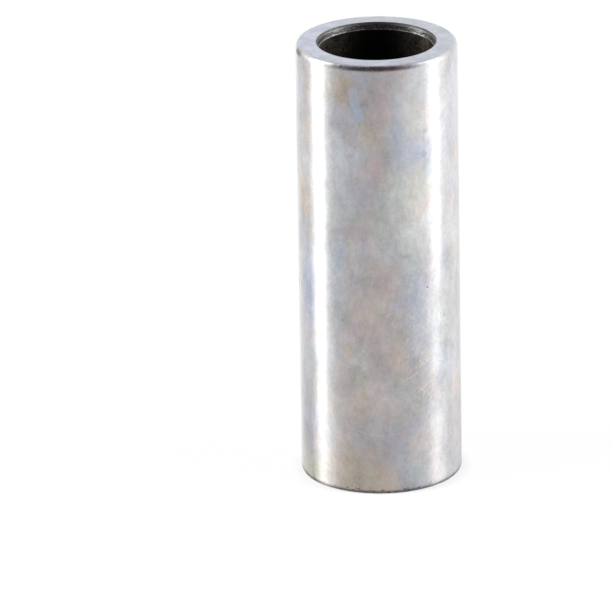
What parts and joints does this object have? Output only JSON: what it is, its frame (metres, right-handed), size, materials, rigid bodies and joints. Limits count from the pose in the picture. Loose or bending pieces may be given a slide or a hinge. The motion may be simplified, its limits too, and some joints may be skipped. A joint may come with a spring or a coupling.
{
  "type": "gudgeon pin",
  "caption": "Hollow ground steel pin that joins a piston to its connecting rod: a plain tube with rounded outer edges and chamfered mouths.",
  "frame": {"origin": "on the pin's axis, in the plane of its lower end face", "axes": "+Z along the pin's axis, from the lower end face to the upper one; X and Y are any two radii"},
  "size_m": [0.02, 0.02, 0.056],
  "materials": {
    "ground_steel": "fine ground outside and end faces with a faint straw, pink and blue temper tint, trued mouths, raw dark bore"
  },
  "bodies": {
    "root": {"gudgeon_pin": "ground_steel"}
  },
  "joints": []
}
